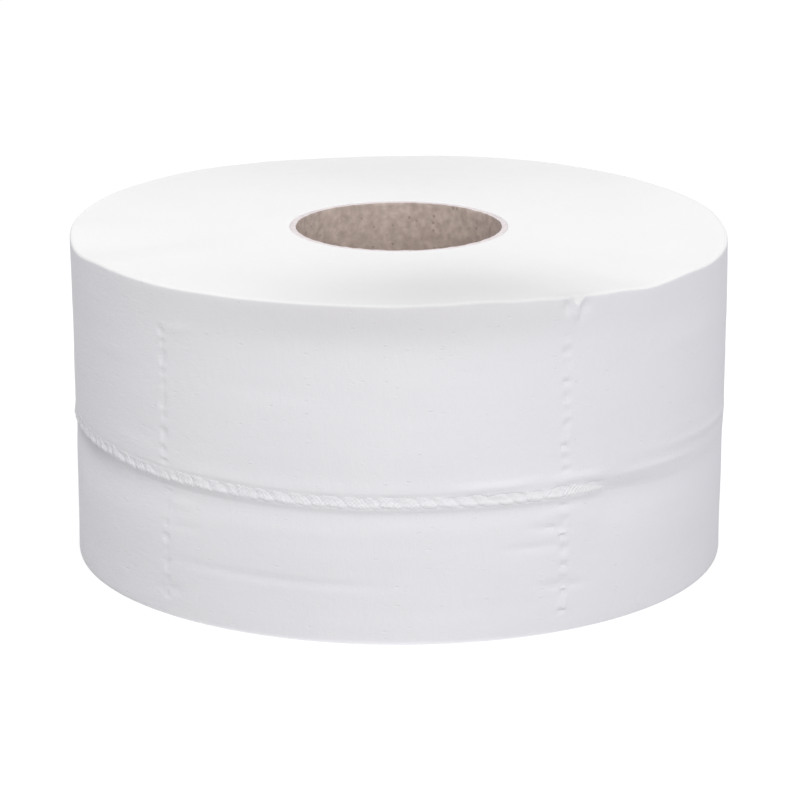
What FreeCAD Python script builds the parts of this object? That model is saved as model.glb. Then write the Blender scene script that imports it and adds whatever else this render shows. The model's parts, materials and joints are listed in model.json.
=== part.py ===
import FreeCAD, Part
import math
import os

# Toilet paper roll of the large dispenser kind, standing on one end.
# Millimetres, +Z up along the roll's axis, origin at the middle of the end it stands on.
# Angles run counter-clockwise seen from above, and the front of the roll faces -Y.

Vector = FreeCAD.Vector

# The wound paper
ROLL_DIAMETER = 190.0
ROLL_WIDTH = 95.0
SHEET_THICKNESS = 0.25
SHEET_LENGTH = 119.2
TOP_EDGE = 0.6
TOP_EDGE_STEPS = 1
BOTTOM_EDGE = 1.7
BOTTOM_EDGE_STEPS = 2

# The cardboard core and how it sits in the paper
CORE_BORE = 60.0
CORE_WALL = 1.5
CORE_RECESS = 0.4
GLUE_GAP = 0.05

# The loose end of the paper, at the back, where the wound surface steps down by one sheet
LOOSE_END_ANGLE = 82.5

# The turns that show on both ends, as one shallow spiral furrow
TURN_PITCH = 12.5
TURN_FURROW_WIDTH = 1.6
TURN_FURROW_DEPTH = 0.3
TURN_MARGIN = 3.5

# The crimped strip that bonds the plies, pressed in round the side, with a hollow under it
# and a fine crease over it
STRIP_HEIGHT = 41.4
STRIP_WIDTH = 3.8
STRIP_DEPTH = 0.2
HOLLOW_DROP = 1.1
HOLLOW_DEPTH = 0.9
HOLLOW_FADE = 3.4
CREASE_RISE = 0.4
CREASE_DEPTH = 0.5
CREASE_FADE = 1.6

# The slanting nips in that strip, over the stretch of the side where they stay sharp
NIP_PITCH = 5.1
NIP_WIDTH = 1.4
NIP_DEPTH = 0.35
NIP_SLANT = 45.0
NIP_START_ANGLE = -162.0
NIP_END_ANGLE = -54.0

# The lines of small dents where the sheets tear apart
DENT_PITCH = 4.3
DENT_LENGTH = 2.8
DENT_HEIGHT = 1.3
DENT_DEPTH = 0.3
DENT_MARGIN = 6.0

# The nick in the top edge, on the line of dents at the front right
NICK_WIDTH = 3.3
NICK_DEPTH = 1.5
NICK_REACH = 1.2
NICK_LINE = 2

roll_radius = ROLL_DIAMETER / 2.0
core_radius = CORE_BORE / 2.0 + CORE_WALL
paper_bore_radius = core_radius + GLUE_GAP
strip_low = STRIP_HEIGHT - STRIP_WIDTH / 2.0
strip_high = STRIP_HEIGHT + STRIP_WIDTH / 2.0
hollow_height = strip_low - HOLLOW_DROP
crease_height = strip_high + CREASE_RISE
sheet_angle = math.degrees(SHEET_LENGTH / roll_radius)

# How far cutting shapes stand out past the face that they cut
CUT_STANDS_OUT = 1.0


def outer_radius(angle):
    """Distance from the roll's axis to its wound surface, which grows by one sheet in a turn."""
    turned = math.radians((angle - LOOSE_END_ANGLE) % 360.0)
    if turned >= math.pi:
        return roll_radius
    offset = SHEET_THICKNESS / 2.0
    return roll_radius - offset - offset * math.cos(turned)


def polygon_face(points):
    """A flat face in the XZ plane through points given as (x, z)."""
    corners = [Vector(x, 0.0, z) for x, z in points]
    return Part.Face(Part.makePolygon(corners + corners[:1]))


def rounded_corner(middle_x, middle_z, radius, start_angle, steps):
    """Points (x, z) along a quarter circle, from start_angle on, in equal steps."""
    points = []
    for step in range(steps + 1):
        angle = math.radians(start_angle + 90.0 * step / steps)
        points.append((middle_x + radius * math.cos(angle), middle_z + radius * math.sin(angle)))
    return points


def paper_section(centre, radius):
    """Half section of the wound paper from its turning axis out to the given radius."""
    wall = centre + radius
    points = [(centre, 0.0)]
    points += rounded_corner(wall - BOTTOM_EDGE, BOTTOM_EDGE, BOTTOM_EDGE, -90.0, BOTTOM_EDGE_STEPS)
    points += [
        (wall, hollow_height - HOLLOW_FADE),
        (wall - HOLLOW_DEPTH, hollow_height),
        (wall - STRIP_DEPTH, strip_low),
        (wall - STRIP_DEPTH, strip_high),
        (wall - CREASE_DEPTH, crease_height),
        (wall, crease_height + CREASE_FADE),
    ]
    points += rounded_corner(wall - TOP_EDGE, ROLL_WIDTH - TOP_EDGE, TOP_EDGE, 0.0, TOP_EDGE_STEPS)
    points.append((centre, ROLL_WIDTH))
    return polygon_face(points)


def wound_body():
    """The wound paper as two half turns about centres half a sheet apart, a step left between."""
    offset = SHEET_THICKNESS / 2.0
    first_half = paper_section(-offset, roll_radius - offset)
    last_half = paper_section(0.0, roll_radius)
    first = first_half.revolve(Vector(-offset, 0.0, 0.0), Vector(0.0, 0.0, 1.0), 180.0)
    last = last_half.revolve(Vector(0.0, 0.0, 0.0), Vector(0.0, 0.0, -1.0), 180.0)
    body = first.fuse(last).removeSplitter()
    body.rotate(Vector(0.0, 0.0, 0.0), Vector(0.0, 0.0, 1.0), LOOSE_END_ANGLE)
    return body


def furrow_section(radius, face_height, inward):
    """Section of the furrow between two turns, cut into the end face at face_height."""
    half = TURN_FURROW_WIDTH / 2.0
    outside = face_height - inward * CUT_STANDS_OUT
    return polygon_face([
        (radius - half, outside),
        (radius - half, face_height),
        (radius, face_height + inward * TURN_FURROW_DEPTH),
        (radius + half, face_height),
        (radius + half, outside),
    ])


def turn_furrows(face_height, inward):
    """The spiral furrow of one end face: half circles about two centres half a pitch apart."""
    start = paper_bore_radius + TURN_MARGIN
    turns = int((roll_radius - TURN_MARGIN - start) / TURN_PITCH)
    shift = TURN_PITCH / 2.0
    furrows = []
    for turn in range(turns):
        radius = start + turn * TURN_PITCH
        near = furrow_section(radius, face_height, inward)
        far = furrow_section(radius + TURN_PITCH, face_height, inward)
        furrows.append(near.revolve(Vector(0.0, 0.0, 0.0), Vector(0.0, 0.0, 1.0), 180.0))
        furrows.append(far.revolve(Vector(shift, 0.0, 0.0), Vector(0.0, 0.0, -1.0), 180.0))
    spiral = furrows[0].fuse(furrows[1:])
    spiral.rotate(Vector(0.0, 0.0, 0.0), Vector(0.0, 0.0, 1.0), LOOSE_END_ANGLE)
    return spiral


def wedge(width, depth, length):
    """A wedge with its edge along Y, pointing to -X, that sinks to the given depth below x = 0."""
    flare = width / 2.0 * (depth + CUT_STANDS_OUT) / depth
    profile = polygon_face([(-depth, 0.0), (CUT_STANDS_OUT, -flare), (CUT_STANDS_OUT, flare)])
    block = profile.extrude(Vector(0.0, length, 0.0))
    block.translate(Vector(0.0, -length / 2.0, 0.0))
    return block


def set_on_side(cutter, angle, inset, height):
    """Moves a cutter from the origin to the wound surface at an angle and a height."""
    cutter.translate(Vector(outer_radius(angle) - inset, 0.0, height))
    cutter.rotate(Vector(0.0, 0.0, 0.0), Vector(0.0, 0.0, 1.0), angle)
    return cutter


def strip_nips():
    """The slanting nips pressed into the crimped strip, evenly along its arc."""
    pitch_angle = math.degrees(NIP_PITCH / roll_radius)
    count = int((NIP_END_ANGLE - NIP_START_ANGLE) / pitch_angle)
    nip_length = STRIP_WIDTH / math.cos(math.radians(NIP_SLANT))
    nips = []
    for index in range(count):
        nip = wedge(NIP_WIDTH, NIP_DEPTH, nip_length)
        nip.rotate(Vector(0.0, 0.0, 0.0), Vector(1.0, 0.0, 0.0), 90.0 + NIP_SLANT)
        angle = NIP_START_ANGLE + (index + 0.5) * pitch_angle
        nips.append(set_on_side(nip, angle, STRIP_DEPTH, STRIP_HEIGHT))
    return nips


def tear_line_angles():
    """Angles of the tear lines in the last turn, counted back from the loose end by sheets."""
    lines = int(360.0 / sheet_angle)
    return [LOOSE_END_ANGLE - line * sheet_angle for line in range(1, lines)]


def tear_dents():
    """The dents of every tear line, left out where the crimped strip crosses it."""
    rows = int((ROLL_WIDTH - 2.0 * DENT_MARGIN) / DENT_PITCH)
    lowest = (ROLL_WIDTH - (rows - 1) * DENT_PITCH) / 2.0
    keep_below = hollow_height - HOLLOW_FADE - DENT_HEIGHT / 2.0
    keep_above = crease_height + CREASE_FADE + DENT_HEIGHT / 2.0
    dents = []
    for angle in tear_line_angles():
        for row in range(rows):
            height = lowest + row * DENT_PITCH
            if keep_below < height < keep_above:
                continue
            dent = wedge(DENT_HEIGHT, DENT_DEPTH, DENT_LENGTH)
            dents.append(set_on_side(dent, angle, 0.0, height))
    return dents


def edge_nick():
    """The V-shaped nick torn into the top edge at one tear line."""
    angle = tear_line_angles()[NICK_LINE - 1]
    flare = NICK_WIDTH / 2.0 * (NICK_DEPTH + CUT_STANDS_OUT) / NICK_DEPTH
    above = ROLL_WIDTH + CUT_STANDS_OUT
    inner = outer_radius(angle) - NICK_REACH
    corners = [
        Vector(inner, 0.0, ROLL_WIDTH - NICK_DEPTH),
        Vector(inner, flare, above),
        Vector(inner, -flare, above),
    ]
    nick = Part.Face(Part.makePolygon(corners + corners[:1])).extrude(
        Vector(NICK_REACH + CUT_STANDS_OUT, 0.0, 0.0))
    nick.rotate(Vector(0.0, 0.0, 0.0), Vector(0.0, 0.0, 1.0), angle)
    return nick


def paper_roll():
    """The wound paper as one solid, with its bore, turns, crimped strip, dents and nick."""
    body = wound_body()
    body = body.cut(Part.makeCylinder(paper_bore_radius, ROLL_WIDTH))
    body = body.cut([turn_furrows(0.0, 1.0), turn_furrows(ROLL_WIDTH, -1.0)])
    body = body.cut(strip_nips() + tear_dents() + [edge_nick()])
    return body.Solids[0]


def core_tube():
    """The cardboard tube in the middle, its rims just below the paper's."""
    low = CORE_RECESS
    high = ROLL_WIDTH - CORE_RECESS
    tube = Part.makeCylinder(core_radius, high - low, Vector(0.0, 0.0, low))
    bore = Part.makeCylinder(CORE_BORE / 2.0, high - low, Vector(0.0, 0.0, low))
    return tube.cut(bore).Solids[0]


def main():
    """Builds each piece and writes it to its own file."""
    os.makedirs("parts", exist_ok=True)
    pieces = {"paper_roll": paper_roll(), "core_tube": core_tube()}
    for name, shape in pieces.items():
        shape.exportStep("parts/" + name + ".step")
        print(name, "valid", shape.isValid(), "faces", len(shape.Faces), "volume mm3", round(shape.Volume))


main()
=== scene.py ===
import json
import logging
import math
from dataclasses import dataclass, field
from enum import Enum

import bpy
import numpy as np
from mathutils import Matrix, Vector


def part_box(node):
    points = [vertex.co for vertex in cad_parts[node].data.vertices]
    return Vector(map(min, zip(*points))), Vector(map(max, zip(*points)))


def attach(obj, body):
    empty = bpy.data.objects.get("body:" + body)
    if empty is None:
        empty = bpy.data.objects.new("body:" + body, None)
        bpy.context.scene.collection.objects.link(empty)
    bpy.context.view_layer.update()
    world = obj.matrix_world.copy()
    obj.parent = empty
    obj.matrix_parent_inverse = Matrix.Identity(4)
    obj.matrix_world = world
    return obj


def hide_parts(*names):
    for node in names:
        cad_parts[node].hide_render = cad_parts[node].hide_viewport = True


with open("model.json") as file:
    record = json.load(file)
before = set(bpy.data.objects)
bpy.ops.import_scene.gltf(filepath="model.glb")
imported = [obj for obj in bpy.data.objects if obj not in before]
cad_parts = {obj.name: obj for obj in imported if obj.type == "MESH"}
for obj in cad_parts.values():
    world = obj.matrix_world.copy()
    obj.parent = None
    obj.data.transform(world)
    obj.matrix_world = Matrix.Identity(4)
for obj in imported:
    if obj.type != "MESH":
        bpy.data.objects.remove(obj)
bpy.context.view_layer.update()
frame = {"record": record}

MM = 0.001
BORE_GAP = 0.04
PAPER_NODE = "paper_roll"
CORE_NODE = "core_tube"
BODY = "root"
SHARP_ANGLE = math.radians(42.0)

Colour = tuple[float, float, float, float]

log = logging.getLogger("toilet_paper_roll")


class Slot(Enum):
    """The record's material slots."""

    TISSUE = "tissue"
    CARDBOARD = "cardboard"


# Small helpers for numbers


def smooth_step(low: float, high: float, value: np.ndarray) -> np.ndarray:
    """Rises smoothly from 0 at low to 1 at high.

    Args:
        low: Where the rise starts.
        high: Where it ends, which may be below low for a fall.
        value: The numbers to judge.

    Returns:
        A share from 0 to 1 for each number.
    """
    share = np.clip((value - low) / (high - low), 0.0, 1.0)
    return share * share * (3.0 - 2.0 * share)


def bell(middle: float, spread: float, value: np.ndarray) -> np.ndarray:
    """A bell curve of height 1.

    Args:
        middle: Where the bell stands.
        spread: Its standard deviation.
        value: The numbers to judge.

    Returns:
        The bell's height at each number.
    """
    return np.exp(-0.5 * ((value - middle) / spread) ** 2)


def turn_difference(first: np.ndarray, second: float) -> np.ndarray:
    """Signed difference of two angles in degrees, from -180 to 180."""
    return (first - second + 180.0) % 360.0 - 180.0


class SmoothNoise:
    """Seeded smooth noise on a roll's surface that closes on itself round the roll."""

    def __init__(self, seed: int, around: int, along: int) -> None:
        """Draws the noise's grid.

        Args:
            seed: The random seed.
            around: Number of cells in a full turn.
            along: Number of cells from one end of the other direction to the other.
        """
        self.around = around
        self.along = along
        self.grid = np.random.default_rng(seed).uniform(-1.0, 1.0, (along + 2, around))

    def at(self, angle: np.ndarray, share: np.ndarray) -> np.ndarray:
        """Reads the noise.

        Args:
            angle: Angles round the roll, in degrees.
            share: Places in the other direction, from 0 to 1.

        Returns:
            Values from -1 to 1.
        """
        across = (angle / 360.0 % 1.0) * self.around
        up = np.clip(share, 0.0, 1.0) * self.along
        column = np.floor(across).astype(int)
        row = np.floor(up).astype(int)
        column_share = across - column
        row_share = up - row
        column_share = column_share**2 * (3.0 - 2.0 * column_share)
        row_share = row_share**2 * (3.0 - 2.0 * row_share)
        left, right = column % self.around, (column + 1) % self.around
        low = self.grid[row, left] * (1.0 - column_share) + self.grid[row, right] * column_share
        high = self.grid[row + 1, left] * (1.0 - column_share) + self.grid[row + 1, right] * column_share
        return low * (1.0 - row_share) + high * row_share


# Small helpers for meshes


def ring_mesh(name: str, points: np.ndarray, material_rows: np.ndarray) -> bpy.types.Mesh:
    """A closed mesh whose rows and columns both run round and meet.

    Args:
        name: The mesh's name.
        points: Places by row and column, in metres, with rows that climb the outside.
        material_rows: The material index of the faces that start at each row.

    Returns:
        The mesh, smooth but for its sharp edges.
    """
    rows, columns = points.shape[:2]
    index = np.arange(rows * columns).reshape(rows, columns)
    above = np.roll(index, -1, axis=0)
    faces = np.stack([index, np.roll(index, -1, axis=1), np.roll(above, -1, axis=1), above], axis=-1)
    mesh = bpy.data.meshes.new(name)
    mesh.from_pydata(points.reshape(-1, 3).tolist(), [], faces.reshape(-1, 4).tolist())
    mesh.polygons.foreach_set("material_index", np.repeat(material_rows, columns).astype(np.int32))
    mesh.polygons.foreach_set("use_smooth", np.ones(rows * columns, dtype=bool))
    mesh.update()
    mesh.set_sharp_from_angle(angle=SHARP_ANGLE)
    return mesh


def add_piece(name: str, mesh: bpy.types.Mesh) -> bpy.types.Object:
    """Puts a mesh into the scene as a piece, with its object at the origin.

    Args:
        name: The piece's name.
        mesh: Its mesh.

    Returns:
        The piece.
    """
    piece = bpy.data.objects.new(name, mesh)
    bpy.context.scene.collection.objects.link(piece)
    return piece


def settle(piece: bpy.types.Object, node: str) -> bpy.types.Object:
    """Ties a finished piece to the frame.

    Args:
        piece: The finished piece.
        node: The CAD node that it stands for.

    Returns:
        The same piece.
    """
    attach(piece, BODY)
    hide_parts(node)
    log.info("%s: %d faces, stands for %s", piece.name, len(piece.data.polygons), node)
    return piece


class TreeMaker:
    """Adds nodes to one node tree and joins them up."""

    def __init__(self, tree: bpy.types.NodeTree) -> None:
        """Takes the tree that the nodes go into."""
        self.tree = tree
        self.count = 0

    def add(self, kind: str, settings: dict | None = None, inputs: dict | None = None) -> bpy.types.Node:
        """Adds one node.

        Args:
            kind: The node's type.
            settings: The node's own settings by name.
            inputs: Values or output sockets by input name or number.

        Returns:
            The new node.
        """
        node = self.tree.nodes.new(kind)
        node.location = (180.0 * (self.count % 12), -240.0 * (self.count // 12))
        self.count += 1
        for key, value in (settings or {}).items():
            setattr(node, key, value)
        for key, value in (inputs or {}).items():
            if isinstance(value, bpy.types.NodeSocket):
                self.tree.links.new(value, node.inputs[key])
            else:
                node.inputs[key].default_value = value
        return node

    def math(self, operation: str, *values: object) -> bpy.types.NodeSocket:
        """Adds a Math node on up to three values and returns its output."""
        return self.add("ShaderNodeMath", {"operation": operation}, dict(enumerate(values))).outputs[0]

    def product(self, *factors: object) -> bpy.types.NodeSocket:
        """Multiplies two or more values, from the first to the last."""
        total = self.math("MULTIPLY", factors[0], factors[1])
        return self.product(total, *factors[2:]) if len(factors) > 2 else total

    def scaled(self, value: object, factor: object, offset: object) -> bpy.types.NodeSocket:
        """Gives value * factor + offset."""
        return self.math("MULTIPLY_ADD", value, factor, offset)

    def vector(self, operation: str, *values: object, scale: object = None) -> bpy.types.NodeSocket:
        """Adds a Vector Math node and returns its output, which is a number for a length.

        Args:
            operation: The node's operation.
            values: Its inputs, in order.
            scale: The factor, where it scales.

        Returns:
            The node's output.
        """
        inputs = dict(enumerate(values)) | ({} if scale is None else {"Scale": scale})
        node = self.add("ShaderNodeVectorMath", {"operation": operation}, inputs)
        return node.outputs["Value" if operation == "LENGTH" else 0]

    def join(self, x: object, y: object, z: object) -> bpy.types.NodeSocket:
        """Makes a vector of three numbers."""
        return self.add("ShaderNodeCombineXYZ", inputs={0: x, 1: y, 2: z}).outputs[0]

    def parts(self, vector: bpy.types.NodeSocket) -> tuple[bpy.types.NodeSocket, ...]:
        """The three numbers of a vector."""
        return tuple(self.add("ShaderNodeSeparateXYZ", inputs={0: vector}).outputs)

    def noise(
        self, place: object, scale: object, detail: float, roughness: float = 0.5
    ) -> bpy.types.NodeSocket:
        """Adds a Noise Texture node and returns its value."""
        inputs = {"Vector": place, "Scale": scale, "Detail": detail, "Roughness": roughness}
        return self.add("ShaderNodeTexNoise", inputs=inputs).outputs[0]

    def fall(
        self, value: object, limits: tuple[float, float], results: tuple = (0.0, 1.0)
    ) -> bpy.types.NodeSocket:
        """Adds a smooth Map Range node from two limits to two results and returns its output."""
        inputs = dict(enumerate((value, *limits, *results)))
        return self.add("ShaderNodeMapRange", {"interpolation_type": "SMOOTHSTEP"}, inputs).outputs[0]

    def mix(self, factor: object, first: object, second: object, blend: str = "MIX") -> bpy.types.NodeSocket:
        """Adds a Mix node on two colours and returns its output."""
        settings = {"data_type": "RGBA", "blend_type": blend}
        return self.add("ShaderNodeMix", settings, {"Factor": factor, 6: first, 7: second}).outputs[2]

    def group(self, tree: bpy.types.NodeTree, inputs: dict) -> bpy.types.NodeOutputs:
        """Adds a shader node group and returns its outputs."""
        return self.add("ShaderNodeGroup", {"node_tree": tree}, inputs).outputs

    def named(self, name: str) -> bpy.types.NodeSocket:
        """Reads a number that the mesh carries under a name."""
        return self.add("GeometryNodeInputNamedAttribute", {"data_type": "FLOAT"}, {"Name": name}).outputs[0]

    def put_out(self, leave: bpy.types.Node, values: dict) -> bpy.types.NodeTree:
        """Links values to an output node's inputs by name and returns the tree.

        Args:
            leave: The output node.
            values: Output sockets by input name.

        Returns:
            The tree.
        """
        for key, value in values.items():
            self.tree.links.new(value, leave.inputs[key])
        return self.tree


def socket_kind(default: object) -> str:
    """The socket type that suits a default value, where a name stands for itself.

    Args:
        default: A default value, or a socket type.

    Returns:
        The socket type's name.
    """
    if isinstance(default, tuple):
        return "NodeSocketVector" if len(default) == 3 else "NodeSocketColor"
    if isinstance(default, str):
        return default
    return "NodeSocketInt" if isinstance(default, int) else "NodeSocketFloat"


def new_group(name: str, kind: str, inputs: dict, outputs: dict) -> tuple[TreeMaker, dict, bpy.types.Node]:
    """Starts a node group with named sockets.

    Args:
        name: The group's name.
        kind: The tree's type.
        inputs: Default value, or socket type, by input name.
        outputs: Socket type by output name.

    Returns:
        The tree's maker, the group's input sockets by name and its output node.
    """
    tree = bpy.data.node_groups.new(name, kind)
    for key, default in inputs.items():
        socket = tree.interface.new_socket(name=key, in_out="INPUT", socket_type=socket_kind(default))
        if not isinstance(default, str):
            socket.default_value = default
    for key, socket_type in outputs.items():
        tree.interface.new_socket(name=key, in_out="OUTPUT", socket_type=socket_type)
    maker = TreeMaker(tree)
    entry = maker.add("NodeGroupInput")
    return maker, {key: entry.outputs[key] for key in inputs}, maker.add("NodeGroupOutput")


def run_tree(name: str, source: bpy.types.Mesh, tree: bpy.types.NodeTree, values: dict) -> bpy.types.Object:
    """Runs a Geometry Nodes tree on a mesh and keeps the result as a plain mesh.

    Args:
        name: The finished piece's name.
        source: The mesh that the tree starts from.
        tree: The Geometry Nodes tree.
        values: The modifier's values by input name.

    Returns:
        The piece, with no modifier left on it.
    """
    piece = add_piece(name, source)
    modifier = piece.modifiers.new(name, "NODES")
    modifier.node_group = tree
    for item in tree.interface.items_tree:
        if item.item_type == "SOCKET" and item.in_out == "INPUT" and item.name in values:
            modifier[item.identifier] = values[item.name]
    evaluated = piece.evaluated_get(bpy.context.evaluated_depsgraph_get())
    result = bpy.data.meshes.new_from_object(evaluated)
    piece.modifiers.clear()
    piece.data = result
    result.name = name
    bpy.data.meshes.remove(source)
    return piece


def turn_outwards(mesh: bpy.types.Mesh) -> None:
    """Flips a closed mesh whose faces point inwards.

    Args:
        mesh: The closed mesh, round the origin.
    """
    mesh.calc_loop_triangles()
    corners = np.empty(len(mesh.loop_triangles) * 3, dtype=np.int32)
    mesh.loop_triangles.foreach_get("vertices", corners)
    places = np.empty(len(mesh.vertices) * 3)
    mesh.vertices.foreach_get("co", places)
    first, second, third = places.reshape(-1, 3)[corners.reshape(-1, 3)].transpose(1, 0, 2)
    if np.einsum("ij,ij->i", first, np.cross(second, third)).sum() < 0.0:
        mesh.flip_normals()


# Shader groups that several finishes share


class Effects:
    """Shader node groups that more than one finish uses, each built once."""

    def __init__(self) -> None:
        """Builds the groups."""
        self.mottle = self._mottle()
        self.streaks = self._streaks()
        self.rings = self._rings()
        self.patch = self._patch()
        self.flecks = self._flecks()
        self.wrinkles = self._wrinkles()

    def _start(self, name: str, inputs: dict, outputs: dict) -> tuple[TreeMaker, dict, bpy.types.Node]:
        """Starts a shader group that also takes a place."""
        return new_group(name, "ShaderNodeTree", {"Vector": "NodeSocketVector"} | inputs, outputs)

    def _mottle(self) -> bpy.types.NodeTree:
        """Soft patches between two colours.

        Returns:
            The group.
        """
        maker, entry, leave = self._start(
            "soft_mottle",
            {
                "Scale": 40.0,
                "Contrast": 1.0,
                "Low Colour": (0.8, 0.8, 0.8, 1.0),
                "High Colour": (0.9, 0.9, 0.9, 1.0),
            },
            {"Color": "NodeSocketColor", "Mask": "NodeSocketFloat"},
        )
        centred = maker.math("SUBTRACT", maker.noise(entry["Vector"], entry["Scale"], 4.0, 0.55), 0.5)
        spread = maker.scaled(centred, entry["Contrast"], 0.5)
        mask = maker.add("ShaderNodeClamp", inputs={"Value": spread}).outputs[0]
        colour = maker.mix(mask, entry["Low Colour"], entry["High Colour"])
        return maker.put_out(leave, {"Color": colour, "Mask": mask})

    def _streaks(self) -> bpy.types.NodeTree:
        """Height of fine streaks that run along Z, over a finer fibre grain.

        Returns:
            The group.
        """
        maker, entry, leave = self._start(
            "fine_streaks",
            {"Streak Scale": 900.0, "Stretch": 0.12, "Grain Scale": 1500.0, "Grain Share": 0.4},
            {"Height": "NodeSocketFloat"},
        )
        along = maker.vector("MULTIPLY", entry["Vector"], maker.join(1.0, 1.0, entry["Stretch"]))
        streak = maker.noise(along, entry["Streak Scale"], 3.0)
        grain = maker.noise(entry["Vector"], entry["Grain Scale"], 4.0, 0.6)
        return maker.put_out(leave, {"Height": maker.scaled(grain, entry["Grain Share"], streak)})

    def _patch(self) -> bpy.types.NodeTree:
        """Mask of one soft patch, as used for painted shade: 1 at its centre, fading over its spread along each
        axis.

        Returns:
            The group.
        """
        maker, entry, leave = self._start(
            "soft_patch",
            {"Centre": "NodeSocketVector", "Spread": (0.01, 0.01, 0.01)},
            {"Mask": "NodeSocketFloat"},
        )
        offset = maker.vector("SUBTRACT", entry["Vector"], entry["Centre"])
        length = maker.vector("LENGTH", maker.vector("DIVIDE", offset, entry["Spread"]))
        return maker.put_out(leave, {"Mask": maker.math("EXPONENT", maker.product(length, length, -0.5))})

    def _flecks(self) -> bpy.types.NodeTree:
        """Height of sparse small flecks that lie across, in clusters.

        Returns:
            The group.
        """
        maker, entry, leave = self._start(
            "sparse_flecks",
            {"Fleck Scale": 330.0, "Flatten": 2.4, "Rarity": 0.72},
            {"Height": "NodeSocketFloat"},
        )
        flat = maker.vector("MULTIPLY", entry["Vector"], maker.join(1.0, 1.0, entry["Flatten"]))
        cells = maker.add("ShaderNodeTexVoronoi", inputs={"Vector": flat, "Scale": entry["Fleck Scale"]})
        near = maker.fall(cells.outputs["Distance"], (0.3, 0.05))
        pick = maker.add("ShaderNodeSeparateColor", inputs={0: cells.outputs["Color"]}).outputs
        cluster = maker.noise(entry["Vector"], 38.0, 1.0)
        limit = maker.scaled(cluster, -0.7, maker.math("ADD", entry["Rarity"], 0.38))
        chosen = maker.math("GREATER_THAN", pick[0], limit)
        height = maker.product(near, chosen, maker.scaled(pick[1], 2.0, -1.1))
        return maker.put_out(leave, {"Height": height})

    def _wrinkles(self) -> bpy.types.NodeTree:
        """Height of small flat wrinkles that lie across, strongest on the roll's left.

        Returns:
            The group.
        """
        maker, entry, leave = self._start(
            "small_wrinkles",
            {"Wrinkle Scale": 150.0, "Flatten": 4.0, "Elsewhere": 0.25},
            {"Height": "NodeSocketFloat"},
        )
        flat = maker.vector("MULTIPLY", entry["Vector"], maker.join(1.0, 1.0, entry["Flatten"]))
        noise = maker.noise(flat, entry["Wrinkle Scale"], 3.0, 0.6)
        fold = maker.math("ABSOLUTE", maker.math("SUBTRACT", noise, 0.5))
        place = maker.fall(maker.parts(entry["Vector"])[0], (-0.04, -0.08), (entry["Elsewhere"], 1.0))
        return maker.put_out(leave, {"Height": maker.product(fold, place, -2.0)})

    def _rings(self) -> bpy.types.NodeTree:
        """Height of fine rings about Z, as the cut edges of the turns make.

        Returns:
            The group.
        """
        maker, entry, leave = self._start(
            "turn_rings",
            {"Ring Scale": 1400.0, "Drift": 25.0},
            {"Height": "NodeSocketFloat"},
        )
        x, y, _ = maker.parts(entry["Vector"])
        radius = maker.vector("LENGTH", maker.join(x, y, 0.0))
        drift = [maker.product(value, entry["Drift"]) for value in (x, y)]
        place = maker.join(maker.product(radius, entry["Ring Scale"]), *drift)
        return maker.put_out(leave, {"Height": maker.noise(place, 1.0, 3.0, 0.6)})


@dataclass(frozen=True)
class ShadePatch:
    """A soft patch where a finish is darker or takes a tint: painted shade, in most of its uses."""

    centre: tuple[float, float, float]
    spread: tuple[float, float, float]
    strength: float
    tint: Colour = (0.0, 0.0, 0.0, 1.0)

    def over(self, maker: TreeMaker, effects: Effects, place: bpy.types.NodeSocket,
             colour: bpy.types.NodeSocket) -> bpy.types.NodeSocket:
        """Lays the patch over a colour.

        Args:
            maker: The material's maker.
            effects: The shared shader groups.
            place: The object coordinates.
            colour: The colour under the patch.

        Returns:
            The colour with the patch.
        """
        inputs = {"Vector": place, "Centre": self.centre, "Spread": self.spread}
        mask = maker.group(effects.patch, inputs)["Mask"]
        return maker.mix(maker.product(mask, self.strength), colour, self.tint, "MULTIPLY")


def start_material(name: str) -> tuple[TreeMaker, bpy.types.Material, bpy.types.Node]:
    """Starts an empty node material.

    Args:
        name: The material's name.

    Returns:
        The tree's maker, the material and its output node.
    """
    material = bpy.data.materials.new(name)
    material.use_nodes = True
    material.node_tree.nodes.clear()
    maker = TreeMaker(material.node_tree)
    return maker, material, maker.add("ShaderNodeOutputMaterial")


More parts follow.
